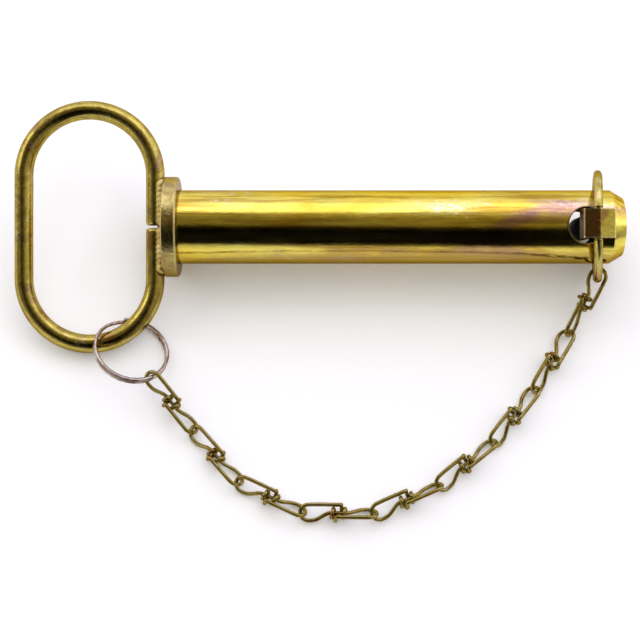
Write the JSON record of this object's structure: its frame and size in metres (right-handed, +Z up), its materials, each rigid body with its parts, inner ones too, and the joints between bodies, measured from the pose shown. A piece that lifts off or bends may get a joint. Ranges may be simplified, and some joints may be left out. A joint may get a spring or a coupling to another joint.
{
  "type": "top link pin",
  "caption": "Headed hitch pin with a welded stirrup handle, a cross hole with a ring-locked linch pin, and a knotted wire chain that ties the linch pin to the handle.",
  "frame": {"origin": "centre of the collar's bearing face, on the shaft's axis", "axes": "+X along the shaft towards its free end; +Z up from the surface it lies on"},
  "size_m": [0.206, 0.1395, 0.0397],
  "materials": {
    "zinc_yellow_bright": "gloss",
    "zinc_olive": "gloss",
    "weld_metal": "satin",
    "nickel_pink": "gloss"
  },
  "bodies": {
    "pin": {"shaft": "zinc_yellow_bright", "collar": "zinc_yellow_bright", "handle": "zinc_yellow_bright", "weld_beads": "weld_metal", "linch_pin": "zinc_olive"},
    "linch_ring": {"linch_ring": "zinc_olive"},
    "split_ring": {"split_ring": "nickel_pink"},
    "chain_link_1": {"chain_link_1": "zinc_olive"},
    "chain_link_2": {"chain_link_2": "zinc_olive"},
    "chain_link_3": {"chain_link_3": "zinc_olive"},
    "chain_link_4": {"chain_link_4": "zinc_olive"},
    "chain_link_5": {"chain_link_5": "zinc_olive"},
    "chain_link_6": {"chain_link_6": "zinc_olive"},
    "chain_link_7": {"chain_link_7": "zinc_olive"},
    "chain_link_8": {"chain_link_8": "zinc_olive"},
    "chain_link_9": {"chain_link_9": "zinc_olive"}
  },
  "joints": [
    {"name": "ring_swing", "type": "hinge", "parent": "pin", "child": "linch_ring", "pos_m": [0.139, -0.00601, 0.01756], "axis": [0, -0.9462, -0.3237], "range_deg": [0, 20]},
    {"name": "split_ring_turn", "type": "hinge", "parent": "pin", "child": "split_ring", "pos_m": [-0.01592, -0.04074, -0.01034], "axis": [0.3067, 0.3132, 0.8988], "range_deg": [-30, 30]},
    {"name": "link_1_turn", "type": "hinge", "parent": "pin", "child": "chain_link_1", "pos_m": [-0.00858, -0.05063, -0.0094], "axis": [0, 0, 1], "range_deg": [-0.5, 3.64]},
    {"name": "link_2_turn", "type": "hinge", "parent": "chain_link_1", "child": "chain_link_2", "pos_m": [0.00551, -0.06747, -0.01409], "axis": [0, 0, 1], "range_deg": [-4, 4]},
    {"name": "link_3_turn", "type": "hinge", "parent": "chain_link_2", "child": "chain_link_3", "pos_m": [0.0209, -0.08522, -0.01409], "axis": [0, 0, 1], "range_deg": [-10.45, 10.45]},
    {"name": "chain_sway", "type": "hinge", "parent": "chain_link_3", "child": "chain_link_4", "pos_m": [0.0421, -0.09537, -0.01388], "axis": [0, 0, 1], "range_deg": [-10, 10]},
    {"name": "link_5_turn", "type": "hinge", "parent": "chain_link_4", "child": "chain_link_5", "pos_m": [0.0656, -0.0958, -0.01371], "axis": [0, 0, 1], "range_deg": [-4.05, 4.05]},
    {"name": "link_6_turn", "type": "hinge", "parent": "chain_link_5", "child": "chain_link_6", "pos_m": [0.08715, -0.08645, -0.01371], "axis": [0, 0, 1], "range_deg": [-6.92, 0.5]},
    {"name": "link_7_turn", "type": "hinge", "parent": "chain_link_6", "child": "chain_link_7", "pos_m": [0.10547, -0.07173, -0.01392], "axis": [0, 0, 1], "range_deg": [-1.95, 0.5]},
    {"name": "link_8_turn", "type": "hinge", "parent": "chain_link_7", "child": "chain_link_8", "pos_m": [0.12025, -0.05346, -0.01376], "axis": [0, 0, 1], "range_deg": [-1.2, 0.5]},
    {"name": "link_9_turn", "type": "hinge", "parent": "chain_link_8", "child": "chain_link_9", "pos_m": [0.13264, -0.0335, -0.0135], "axis": [0, 0, 1], "range_deg": [-0.87, 0.5]}
  ],
  "couplings": [
    {"joint": "link_1_turn", "follows": "ring_swing", "ratio": 0.157},
    {"joint": "link_2_turn", "follows": "chain_sway", "ratio": 0.35},
    {"joint": "link_3_turn", "follows": "chain_sway", "ratio": -0.995},
    {"joint": "link_5_turn", "follows": "chain_sway", "ratio": -0.355},
    {"joint": "link_6_turn", "follows": "ring_swing", "ratio": -0.3209},
    {"joint": "link_7_turn", "follows": "ring_swing", "ratio": -0.0726},
    {"joint": "link_8_turn", "follows": "ring_swing", "ratio": -0.0351},
    {"joint": "link_9_turn", "follows": "ring_swing", "ratio": -0.0187}
  ]
}
